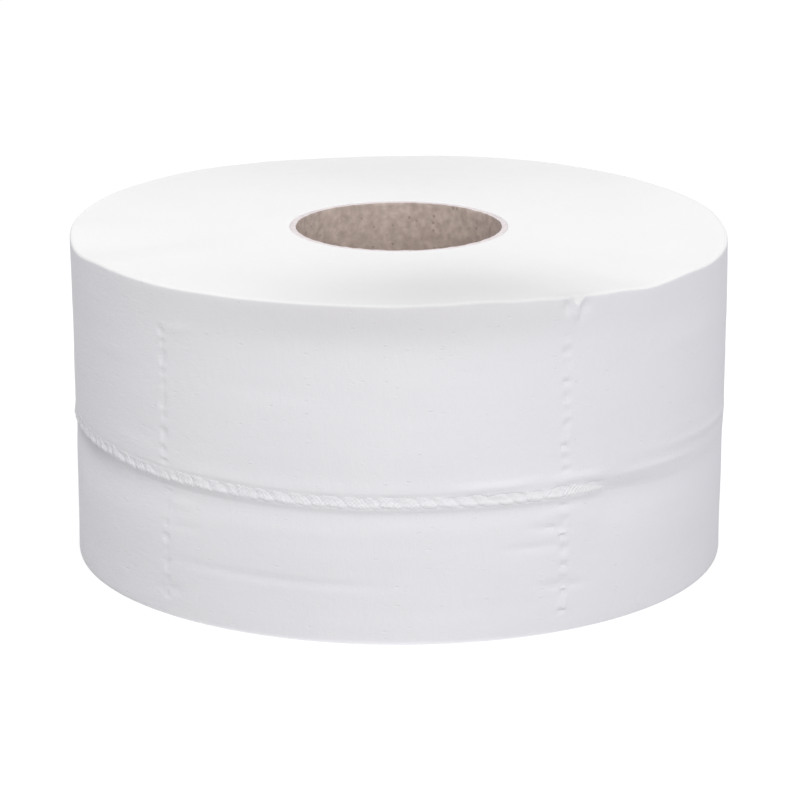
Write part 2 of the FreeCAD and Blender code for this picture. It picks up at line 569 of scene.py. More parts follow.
@dataclass(frozen=True)
class Finish:
    """A matt finish: a mottled colour with soft patches of painted shade, over fine streaks and grain."""

    name: str
    low_colour: Colour = (0.832, 0.82, 0.838, 1.0)
    high_colour: Colour = (0.862, 0.852, 0.864, 1.0)
    patches: tuple[ShadePatch, ...] = ()
    mottle_scale: float = 22.0
    mottle_contrast: float = 1.6
    streak_scale: float = 620.0
    streak_stretch: float = 0.4
    grain_scale: float = 1700.0
    grain_share: float = 0.5
    bump_distance: float = 0.00014
    bump_strength: float = 0.65
    roughness: float = 0.94
    specular: float = 0.15
    sheen: float = 0.0
    sheen_roughness: float = 0.6

    def marks(self, maker: TreeMaker, place: bpy.types.NodeSocket,
              colour: bpy.types.NodeSocket) -> bpy.types.NodeSocket:
        """Gives the colour back as it is, for a finish with no marks."""
        return colour

    def relief(self, maker: TreeMaker, effects: Effects, place: bpy.types.NodeSocket,
               height: bpy.types.NodeSocket) -> bpy.types.NodeSocket:
        """Gives the streaks' height back as it is, for a finish with no relief of its own."""
        return height

    def build(self, effects: Effects) -> bpy.types.Material:
        """Builds the material.

        Args:
            effects: The shared shader groups.

        Returns:
            The material.
        """
        maker, material, leave = start_material(self.name)
        place = maker.add("ShaderNodeTexCoord").outputs["Object"]
        mottle = {
            "Vector": place,
            "Scale": self.mottle_scale,
            "Contrast": self.mottle_contrast,
            "Low Colour": self.low_colour,
            "High Colour": self.high_colour,
        }
        streaks = {
            "Vector": place,
            "Streak Scale": self.streak_scale,
            "Stretch": self.streak_stretch,
            "Grain Scale": self.grain_scale,
            "Grain Share": self.grain_share,
        }
        colour = self.marks(maker, place, maker.group(effects.mottle, mottle)["Color"])
        # Lays the patches of painted shade over the colour.
        for patch in self.patches:
            colour = patch.over(maker, effects, place, colour)
        height = self.relief(maker, effects, place, maker.group(effects.streaks, streaks)["Height"])
        bump = {"Height": height, "Distance": self.bump_distance, "Strength": self.bump_strength}
        surface = {
            "Base Color": colour,
            "Normal": maker.add("ShaderNodeBump", inputs=bump).outputs[0],
            "Roughness": self.roughness,
            "Specular IOR Level": self.specular,
            "Sheen Weight": self.sheen,
            "Sheen Roughness": self.sheen_roughness,
        }
        shader = maker.add("ShaderNodeBsdfPrincipled", inputs=surface)
        maker.put_out(leave, {"Surface": shader.outputs[0]})
        return material


@dataclass(frozen=True)
class TissueFinish(Finish):
    """White two-ply tissue: finely creped, with the marks of its cut edges or of its side."""

    ring_scale: float = 0.0
    ring_share: float = 1.4
    fleck_share: float = 0.0
    wrinkle_share: float = 1.1
    sheen: float = 0.08

    def relief(self, maker: TreeMaker, effects: Effects, place: bpy.types.NodeSocket,
               height: bpy.types.NodeSocket) -> bpy.types.NodeSocket:
        """Adds rings, flecks and wrinkles to the streaks.

        Args:
            maker: The material's maker.
            effects: The shared shader groups.
            place: The object coordinates.
            height: The streaks' height.

        Returns:
            The whole height for the bump.
        """
        if self.ring_scale > 0.0:
            rings = maker.group(effects.rings, {"Vector": place, "Ring Scale": self.ring_scale})
            height = maker.scaled(rings["Height"], self.ring_share, height)
        if self.fleck_share > 0.0:
            for tree, share in ((effects.flecks, self.fleck_share), (effects.wrinkles, self.wrinkle_share)):
                height = maker.scaled(maker.group(tree, {"Vector": place})["Height"], share, height)
        return height


@dataclass(frozen=True)
class CardboardFinish(Finish):
    """Grey-brown core board: mottled, with short fibres and dark specks."""

    low_colour: Colour = (0.5, 0.41, 0.362, 1.0)
    high_colour: Colour = (0.72, 0.61, 0.545, 1.0)
    mottle_scale: float = 420.0
    mottle_contrast: float = 2.6
    streak_scale: float = 420.0
    streak_stretch: float = 0.5
    grain_scale: float = 1300.0
    grain_share: float = 0.8
    bump_distance: float = 0.00015
    bump_strength: float = 0.55
    roughness: float = 0.9
    specular: float = 0.2
    speck_colour: Colour = (0.25, 0.2, 0.17, 1.0)
    speck_scale: float = 560.0
    speck_smallest: float = 0.05
    speck_growth: float = 0.3
    speck_rarity: float = 0.7
    speck_share: float = 0.45

    def marks(self, maker: TreeMaker, place: bpy.types.NodeSocket,
              colour: bpy.types.NodeSocket) -> bpy.types.NodeSocket:
        """Scatters dark specks over a colour.

        Args:
            maker: The material's maker.
            place: The object coordinates.
            colour: The colour under the specks.

        Returns:
            The colour with the specks.
        """
        cells = maker.add("ShaderNodeTexVoronoi", inputs={"Vector": place, "Scale": self.speck_scale})
        pick = maker.add("ShaderNodeSeparateColor", inputs={0: cells.outputs["Color"]}).outputs
        size = maker.scaled(pick[1], self.speck_growth, self.speck_smallest)
        near = maker.math("LESS_THAN", cells.outputs["Distance"], size)
        chosen = maker.math("GREATER_THAN", pick[0], self.speck_rarity)
        return maker.mix(maker.product(near, chosen, self.speck_share), colour, self.speck_colour)


# The wound paper's shape, in millimetres and degrees from the front, positive to the right


@dataclass(frozen=True)
class SoftCrease:
    """One soft fold of the last sheet, long round the roll and short up it."""

    start_angle: float
    end_angle: float
    height: float
    lift: float
    spread: float = 1.1
    climb: float = 0.0

    def relief(self, angle: np.ndarray, height: np.ndarray) -> np.ndarray:
        """How far the fold lifts the surface, with a bright upper flank and a dark lower one.

        Args:
            angle: Angles from the front, in degrees.
            height: Heights above the base, in millimetres.

        Returns:
            The crease's lift in millimetres.
        """
        middle = (self.start_angle + self.end_angle) / 2.0
        reach = (self.end_angle - self.start_angle) / 2.0
        offset = turn_difference(angle, middle) / reach
        window = np.clip(1.0 - offset**2, 0.0, 1.0) ** 2
        line = self.height + self.climb * offset
        return self.lift * window * bell(0.0, self.spread, height - line)


@dataclass
class WoundShape:
    """The rule that gives the wound paper's surface at any angle and height."""

    radius: float
    width: float
    sheet_thickness: float = 0.25
    loose_end_angle: float = 172.5
    sheet_angle: float = 71.9
    taper: float = 0.75
    taper_height: float = 64.0
    left_lean: float = 0.47
    strip_height: float = 40.3
    strip_half_width: float = 1.78
    strip_seat: float = 0.6
    strip_ramp: float = 0.55
    hollow_depth: float = 0.6
    left_hollow_depth: float = 1.15
    swell_lift: float = 0.25
    bridge_start: float = 32.0
    bridge_end: float = 96.0
    bridge_depth: float = 1.5
    rim_flare: float = 0.75
    dent_pitch: float = 4.3
    dent_lift: float = 0.25
    dent_strengths: tuple[float, ...] = (1.0, 1.15, 0.95, 1.0)
    nick_angle: float = 30.4
    nick_width: float = 3.9
    nick_depth: float = 2.0
    # The folds by the nick: place along the arc, depth below the top, lift, spread along the arc and up
    nick_folds: tuple[tuple[float, float, float, float, float], ...] = (
        (-3.1, 2.6, -0.7, 0.9, 1.2),
        (2.6, 2.9, -0.8, 1.0, 1.2),
        (1.4, 5.2, -0.35, 0.6, 1.2),
        (-0.6, 4.0, 0.25, 1.0, 1.3),
    )
    rim_rises: tuple[tuple[float, float], ...] = (
        (-180.0, -0.2), (-165.0, -0.25), (-153.0, 0.1), (-138.0, 0.5), (-118.0, 0.4), (-92.0, -0.3),
        (-75.0, -1.65), (-60.0, -0.2), (-44.0, -0.2), (-30.0, 0.27), (-18.0, 0.47), (-10.0, 0.6),
        (-2.0, 0.5), (6.0, 0.78), (13.0, 1.1), (22.0, 0.55), (30.0, -0.1), (38.0, -0.4), (47.0, -1.55),
        (57.0, -1.1), (68.0, -1.8), (85.0, -1.75), (108.0, -0.4), (122.0, -0.2), (135.0, 0.1),
        (152.0, 0.4), (163.0, 0.35), (172.0, 0.1), (180.0, -0.2),
    )
    creases: tuple[SoftCrease, ...] = (
        SoftCrease(20.0, 32.0, 30.4, -0.6, 0.6, -0.9),
        SoftCrease(15.0, 31.0, 25.4, -0.42, 0.7, -0.4),
        SoftCrease(22.0, 35.0, 13.4, -0.5, 0.7, -0.8),
        SoftCrease(22.0, 34.0, 34.4, 0.34, 0.7, 0.3),
        SoftCrease(-45.0, -36.0, 33.2, 0.34, 0.9, 0.3),
        SoftCrease(-44.0, -34.0, 26.8, -0.24, 0.8, 0.4),
        SoftCrease(-48.0, -38.0, 7.6, -0.36, 0.9, 0.7),
        SoftCrease(-44.0, -35.0, 83.4, 0.28, 0.9, 0.9),
        SoftCrease(-52.0, 8.0, 16.6, -0.3, 0.8, -0.5),
        SoftCrease(-30.0, 2.0, 32.6, -0.1, 1.2, 0.3),
        SoftCrease(-30.0, 22.0, 24.2, 0.1, 2.0, 0.6),
        SoftCrease(-14.0, 26.0, 9.0, -0.1, 1.6, 0.4),
        SoftCrease(24.0, 39.0, 43.9, 0.26, 0.8, -0.5),
        SoftCrease(38.0, 94.0, 45.4, 0.34, 1.2, -1.6),
        SoftCrease(33.0, 66.0, 41.6, 0.24, 0.8, -1.2),
        SoftCrease(42.0, 80.0, 49.6, 0.14, 1.3, -1.4),
        SoftCrease(6.0, 26.0, 44.0, 0.3, 0.8, 0.4),
        SoftCrease(-64.0, -36.0, 47.4, 0.16, 1.5, -0.8),
        SoftCrease(-30.0, 20.0, 61.0, 0.08, 2.4, 0.8),
        SoftCrease(-38.0, -8.0, 70.0, -0.1, 1.6, -0.6),
        SoftCrease(-70.0, -46.0, 72.0, 0.12, 1.8, 0.6),
        SoftCrease(36.0, 66.0, 30.0, 0.12, 2.2, -1.0),
        SoftCrease(48.0, 80.0, 75.0, 0.1, 1.8, -0.8),
    )
    soft: SmoothNoise = field(default_factory=lambda: SmoothNoise(7, 20, 9))
    fine: SmoothNoise = field(default_factory=lambda: SmoothNoise(19, 64, 40))
    edge_noise: SmoothNoise = field(default_factory=lambda: SmoothNoise(23, 170, 2))
    row_noise: SmoothNoise = field(default_factory=lambda: SmoothNoise(31, 5, 30))
    end_soft: SmoothNoise = field(default_factory=lambda: SmoothNoise(43, 9, 4))
    end_rings: SmoothNoise = field(default_factory=lambda: SmoothNoise(57, 6, 62))
    end_fine_rings: SmoothNoise = field(default_factory=lambda: SmoothNoise(71, 8, 140))

    def tear_angles(self) -> list[float]:
        """Angles of the tear lines in the last turn, counted back from the loose end."""
        lines = int(360.0 / self.sheet_angle)
        return [self.loose_end_angle - line * self.sheet_angle for line in range(1, lines)]

    def base_radius(self, angle: np.ndarray) -> np.ndarray:
        """Radius of the plain wound surface, which grows by one sheet in a turn."""
        share = ((angle - self.loose_end_angle) % 360.0) / 360.0
        return self.radius - self.sheet_thickness * (1.0 - share)

    def rim_rise(self, angle: np.ndarray, share: np.ndarray) -> np.ndarray:
        """How far the loosely wound outer turns stand above or below the top's plane.

        Args:
            angle: Angles from the front, in degrees.
            share: How much of the rise each place takes, from 0 to 1.

        Returns:
            The rise in millimetres.
        """
        around = turn_difference(angle, 0.0)
        rise = np.zeros_like(around)
        for (start, low), (end, high) in zip(self.rim_rises, self.rim_rises[1:]):
            inside = (around >= start) & (around < end)
            rise = np.where(inside, low + (high - low) * smooth_step(start, end, around), rise)
        return rise * share

    def narrowing(self, angle: np.ndarray, height: np.ndarray) -> np.ndarray:
        """How much the roll narrows towards its base, and on its left.

        Args:
            angle: Angles from the front, in degrees.
            height: Heights above the base, in millimetres.

        Returns:
            How far the side stands further in, in millimetres.
        """
        lean = self.left_lean * bell(-88.0, 28.0, turn_difference(angle, 0.0))
        lean = lean * smooth_step(self.width, self.width - 30.0, height) * smooth_step(0.0, 50.0, height)
        return lean + self.taper * smooth_step(self.taper_height, 0.0, height)

    def strip_middle(self, angle: np.ndarray) -> np.ndarray:
        """Height of the crimped strip's middle, which climbs to the left and dips to the right.

        Args:
            angle: Angles from the front, in degrees.

        Returns:
            Heights above the base, in millimetres.
        """
        around = turn_difference(angle, 0.0)
        left = smooth_step(-20.0, -100.0, around) * smooth_step(-178.0, -120.0, around)
        right = smooth_step(30.0, 52.0, around) * smooth_step(150.0, 90.0, around)
        wander = 0.12 * np.sin(np.radians(around * 5.0)) + 0.08 * np.sin(np.radians(around * 11.0))
        wander += 0.3 * bell(-34.0, 9.0, around) + 0.35 * bell(-74.0, 9.0, around)
        return self.strip_height + 2.5 * left - 1.9 * right + wander

    def crimp_share(self, angle: np.ndarray) -> np.ndarray:
        """1 where the crimped strip shows, 0 where the last sheet bridges it.

        Args:
            angle: Angles from the front, in degrees.

        Returns:
            A share from 0 to 1.
        """
        around = angle % 360.0
        return 1.0 - smooth_step(self.bridge_start, self.bridge_start + 7.0, around) * smooth_step(
            self.bridge_end + 14.0, self.bridge_end, around)

    def merge_share(self, angle: np.ndarray) -> np.ndarray:
        """1 where the strip's upper edge runs into the sheet without a crease, at the front right."""
        return bell(19.0, 6.5, turn_difference(angle, 0.0))

    def strip_relief(self, angle: np.ndarray, height: np.ndarray) -> np.ndarray:
        """The groove that the strip lies in, and the soft hollow where the sheet bridges it.

        Args:
            angle: Angles from the front, in degrees.
            height: Heights above the base, in millimetres.

        Returns:
            The relief in millimetres, outwards.
        """
        offset = height - self.strip_middle(angle)
        half = self.strip_half_width
        share = self.crimp_share(angle)
        around = turn_difference(angle, 0.0)
        left = smooth_step(-12.0, -62.0, around) * smooth_step(-178.0, -130.0, around)
        ragged = self.edge_noise.at(angle, np.full_like(angle, 0.5))
        upper = half - 0.4 - 0.5 * smooth_step(-8.0, -38.0, around) + 0.5 * ragged
        lower = -half + 0.45 - 0.25 * left
        floor = self.strip_seat * smooth_step(lower, lower + self.strip_ramp, offset)
        floor = floor * smooth_step(upper, upper - self.strip_ramp, offset)
        below = offset + half + 2.1
        hollow = np.where(below > 0.0, bell(0.0, 1.2, below), bell(0.0, 2.2 + 4.0 * left, below))
        edge_fade = 1.0 - 0.85 * smooth_step(-74.0, -85.0, around) * smooth_step(-140.0, -110.0, around)
        sunk = self.hollow_depth + self.left_hollow_depth * left + 0.55 * bell(-68.0, 8.0, around)
        hollow = hollow * sunk * edge_fade
        crease = (0.015 + 0.02 * left) * (1.0 + 0.9 * ragged) * bell(half + 0.07, 0.3, offset)
        peak = half + 1.0
        merged = self.merge_share(angle)
        flank = merged + (1.0 - merged) * bell(peak, 0.6, offset)
        swell = np.where(offset > peak, bell(peak, 1.7, offset), flank * smooth_step(0.0, half - 0.4, offset))
        swell = swell * (self.swell_lift + 0.12 * merged) * (1.0 + 0.3 * ragged)
        swell = swell * (1.0 - 0.85 * smooth_step(-22.0, -64.0, around))
        lip = 0.16 * (1.0 - 0.8 * left) * bell(-half - 0.1, 0.55, offset)
        groove = swell + lip - crease - np.maximum(floor, hollow)
        fade = 0.07 + 0.13 * smooth_step(80.0, 66.0, around) + 0.8 * smooth_step(62.0, 38.0, around)
        dip = np.where(offset > -2.6, bell(-2.6, 2.3, offset), bell(-2.6, 5.4, offset))
        return share * groove - (1.0 - share) * self.bridge_depth * fade * dip

    def dent_relief(self, angle: np.ndarray, height: np.ndarray) -> np.ndarray:
        """The puckers of the tear lines: a row of small folds between the cuts.

        Args:
            angle: Angles from the front, in degrees.
            height: Heights above the base, in millimetres.

        Returns:
            The relief in millimetres, outwards.
        """
        total = np.zeros_like(height)
        for number, line in enumerate(self.tear_angles()):
            jitter, sway, boost = (
                self.row_noise.at(np.full_like(height, 72.0 * number + shift), height / self.width)
                for shift in (0.0, 20.0, 36.0)
            )
            arc = np.radians(turn_difference(angle, line)) * self.radius + 0.55 * sway
            window = np.exp(-np.abs(arc / 1.5) ** 3)
            phase = 2.0 * math.pi * (height + 1.5 * jitter + 0.3 * sway * arc + 0.9 * number) / self.dent_pitch
            strength = 0.9 + 0.65 * boost
            folds = np.sin(phase) + 0.45 * np.sin(2.0 * phase + 0.8)
            total += self.dent_lift * self.dent_strengths[number] * strength * window * folds
            total -= 0.1 * np.exp(-((arc / 0.8) ** 2))
        edge = smooth_step(1.5, 6.0, height) * smooth_step(self.width - 8.0, self.width - 14.0, height)
        clear = 1.0 - bell(self.strip_height, 3.4, height)
        return total * edge * clear

    def side_relief(self, angle: np.ndarray, height: np.ndarray) -> np.ndarray:
        """How far the last sheet's outside stands from the plain wound surface.

        Args:
            angle: Angles from the front, in degrees.
            height: Heights above the base, in millimetres.

        Returns:
            The relief in millimetres, outwards.
        """
        share = height / self.width
        around = turn_difference(angle, 0.0)
        front = bell(-4.0, 30.0, around)
        relief = self.rim_flare * front * (smooth_step(self.width - 13.0, self.width - 1.0, height) - 1.0)
        relief -= self.narrowing(angle, height)
        relief += 0.1 * self.soft.at(angle, share) + 0.022 * self.fine.at(angle, share)
        relief += self.strip_relief(angle, height) + self.dent_relief(angle, height)
        for crease in self.creases:
            relief += crease.relief(angle, height)
        arc = np.radians(turn_difference(angle, self.nick_angle)) * self.radius
        for offset, drop, lift, reach, rise in self.nick_folds:
            relief += lift * bell(offset, reach, arc) * bell(self.width - drop, rise, height)
        return relief

    def nick_drop(self, angle: np.ndarray) -> np.ndarray:
        """How far the torn nick lowers the top edge.

        Args:
            angle: Angles from the front, in degrees.

        Returns:
            The drop in millimetres.
        """
        arc = np.abs(np.radians(turn_difference(angle, self.nick_angle)) * self.radius)
        ragged = 0.12 * self.fine.at(angle * 6.0, np.full_like(angle, 0.4))
        return np.maximum(0.0, (self.nick_depth + ragged) * (1.0 - (2.0 * arc / self.nick_width) ** 1.4))

    def end_relief(self, angle: np.ndarray, radius: np.ndarray) -> np.ndarray:
        """How far the cut edges of the turns lie below the plane of an end.

        Args:
            angle: Angles from the front, in degrees.
            radius: Distances from the roll's axis, in millimetres.

        Returns:
            The depth in millimetres.
        """
        share = radius / self.radius
        relief = 0.07 * (1.0 + self.end_soft.at(angle, share))
        relief += 0.035 * (1.0 + self.end_rings.at(angle, share))
        relief += 0.018 * (1.0 + self.end_fine_rings.at(angle, share))
        return relief

    def top_drop(self, angle: np.ndarray, radius: np.ndarray) -> np.ndarray:
        """How far the top's cut edges lie below its plane, the outer turns' rise included."""
        spread = smooth_step(0.42 * self.radius, 0.99 * self.radius, radius)
        return self.end_relief(angle, radius) - self.rim_rise(angle, spread)


def cylinder_points(angles: np.ndarray, radii: np.ndarray, heights: np.ndarray) -> np.ndarray:
    """Turns angles from the front, radii and heights in millimetres into places in metres."""
    turn = np.radians(angles)
    return np.stack([radii * np.sin(turn), -radii * np.cos(turn), heights], axis=-1) * MM


@dataclass
class OuterTurns:
    """The last few turns of the roll, with everything that shows on its side."""

    shape: WoundShape
    depth: float = 4.5
    bottom_edge: float = 1.0
    bottom_edge_steps: int = 6
    top_edge: float = 0.9
    top_edge_steps: int = 7
    columns: int = 520
    row_pitch: float = 0.95
    strip_row_pitch: float = 0.28
    tear_window: float = 2.4
    tear_columns: int = 34
    loose_end_gap: float = 0.03
    base_row_step: float = 0.15
    row_clearance: float = 0.2
    fine_rows_below: float = 4.6
    fine_rows_above: float = 6.4
    top_insets: tuple[float, ...] = (1.0, 1.5, 2.1, 2.8, 3.6)
    nick_reach: float = 9.0
    nick_fade: float = 0.8
    rise_reach: float = 26.0
    rim_finish_start: float = 0.06

    def column_angles(self) -> np.ndarray:
        """Even columns all round, closer together at the tear lines and doubled at the loose end.

        Returns:
            Angles from the front, in degrees and in order.
        """
        even = np.arange(self.columns) * 360.0 / self.columns - 180.0
        lines = self.shape.tear_angles()
        keep = np.ones(self.columns, dtype=bool)
        for line in lines:
            keep &= np.abs(turn_difference(even, line)) > self.tear_window
        keep &= np.abs(turn_difference(even, self.shape.loose_end_angle)) > 4.0 * self.loose_end_gap
        extra = [line + np.linspace(-self.tear_window, self.tear_window, self.tear_columns) for line in lines]
        step = self.shape.loose_end_angle + np.array([-self.loose_end_gap, self.loose_end_gap])
        return np.sort(turn_difference(np.concatenate([even[keep], *extra, step]), 0.0))

    def section(self) -> tuple[np.ndarray, np.ndarray, np.ndarray, np.ndarray]:
        """The section's rows, starting at the inside of the base and climbing the outside.

        Returns:
            Insets from the side, heights, the side relief's weight and the end's weight for each row.
        """
        width = self.shape.width
        rows: list[tuple[float, float, float, float]] = []
        for inset in (self.depth, self.depth - self.base_row_step):
            rows.append((inset, 0.0, 0.0, -1.0))
        for step in range(self.bottom_edge_steps + 1):
            turn = math.pi / 2.0 * step / self.bottom_edge_steps
            inset = self.bottom_edge * (1.0 - math.sin(turn))
            rows.append((inset, self.bottom_edge * (1.0 - math.cos(turn)), math.sin(turn), 0.0))
        wall = np.arange(self.bottom_edge + self.row_pitch, width - self.top_edge - 0.3, self.row_pitch)
        strip = self.shape.strip_height
        close = np.arange(strip - self.fine_rows_below, strip + self.fine_rows_above, self.strip_row_pitch)
        apart = (wall < close[0] - self.row_clearance) | (wall > close[-1] + self.row_clearance)
        wall = np.concatenate([wall[apart], close])
        rows += [(0.0, float(height), 1.0, 0.0) for height in np.sort(wall)]
        for step in range(self.top_edge_steps + 1):
            turn = math.pi / 2.0 * step / self.top_edge_steps
            inset = self.top_edge * (1.0 - math.cos(turn))
            rows.append((inset, width - self.top_edge * (1.0 - math.sin(turn)), 1.0, 0.0))
        for inset in (*self.top_insets, self.depth):
            rows.append((inset, width, (self.depth - inset) / self.depth, 1.0))
        return tuple(np.array(column) for column in zip(*rows))

    def build(self, side: bpy.types.Material, ends: bpy.types.Material) -> bpy.types.Object:
        """Builds the outer turns as one closed mesh.

        Args:
            side: The finish of the side.
            ends: The finish of the turns' cut edges.

        Returns:
            The finished piece.
        """
        angles = self.column_angles()
        inset, height, weight, end = self.section()
        angle, inset = np.meshgrid(angles, inset)
        height, weight, end = (np.repeat(row[:, None], len(angles), axis=1) for row in (height, weight, end))
        shape = self.shape
        outside = shape.base_radius(angle) + weight * shape.side_relief(angle, height)
        inner = shape.radius - self.depth
        blend = np.clip((self.depth - inset) / self.depth, 0.0, 1.0)
        radius = np.where(end != 0.0, inner + blend * (outside - inner), outside - inset)
        radius = np.where(inset >= self.depth - 1e-6, inner, radius)
        reach = smooth_step(shape.width - self.nick_reach, shape.width - self.nick_fade, height)
        drop = shape.nick_drop(angle) * reach
        drop *= np.clip(1.0 - (inset - self.top_edge) / self.nick_fade, 0.0, 1.0)
        climb = smooth_step(shape.width - self.rise_reach, shape.width - self.top_edge, height)
        wall_rise = shape.rim_rise(angle, climb)
        below = np.where(end > 0.0, shape.top_drop(angle, radius), -wall_rise)
        height = height - drop - np.where(end < 0.0, -shape.end_relief(angle, radius), below)
        on_rim = (inset[:, 0] > self.rim_finish_start * self.top_edge) & (height[:, 0] > shape.width / 2.0)
        materials = np.where((end[:, 0] != 0.0) | on_rim, 1, 0)
        mesh = ring_mesh("outer_turns", cylinder_points(angle, radius, height), materials)
        mesh.materials.append(side)
        mesh.materials.append(ends)
        return settle(add_piece("outer_turns", mesh), PAPER_NODE)


@dataclass
class InnerTurns:
    """The rest of the wound paper, from the core out to the outer turns, with both ends."""

    shape: WoundShape
    outer_radius: float
    bore_radius: float
    bore_edge: float = 0.25
    bore_edge_steps: int = 3
    columns: int = 600
    rings: int = 72

    def build(self, ends: bpy.types.Material) -> bpy.types.Object:
        """Builds the inner turns as one closed mesh.

        Args:
            ends: The finish of the turns' cut edges.

        Returns:
            The finished piece.
        """
        width = self.shape.width
        angles = np.arange(self.columns) * 360.0 / self.columns - 180.0
        flat = np.linspace(self.outer_radius, self.bore_radius + self.bore_edge, self.rings)
        turns = np.linspace(0.0, math.pi / 2.0, self.bore_edge_steps + 1)
        edge_radii = self.bore_radius + self.bore_edge * (1.0 - np.sin(turns))
        edge_drops = self.bore_edge * (1.0 - np.cos(turns))
        top_radii = np.concatenate([flat, edge_radii[1:]])
        top_drops = np.concatenate([np.zeros(self.rings), edge_drops[1:]])
        radii = np.concatenate([top_radii, top_radii[::-1]])
        drops = np.concatenate([top_drops, top_drops[::-1]])
        is_top = np.arange(len(radii)) < len(top_radii)
        angle, radius = np.meshgrid(angles, radii)
        top = width - self.shape.top_drop(angle, radius) - drops[:, None]
        height = np.where(is_top[:, None], top, self.shape.end_relief(angle, radius) + drops[:, None])
        mesh = ring_mesh("inner_turns", cylinder_points(angle, radius, height), np.zeros(len(radii), dtype=int))
        mesh.materials.append(ends)
        return settle(add_piece("inner_turns", mesh), PAPER_NODE)


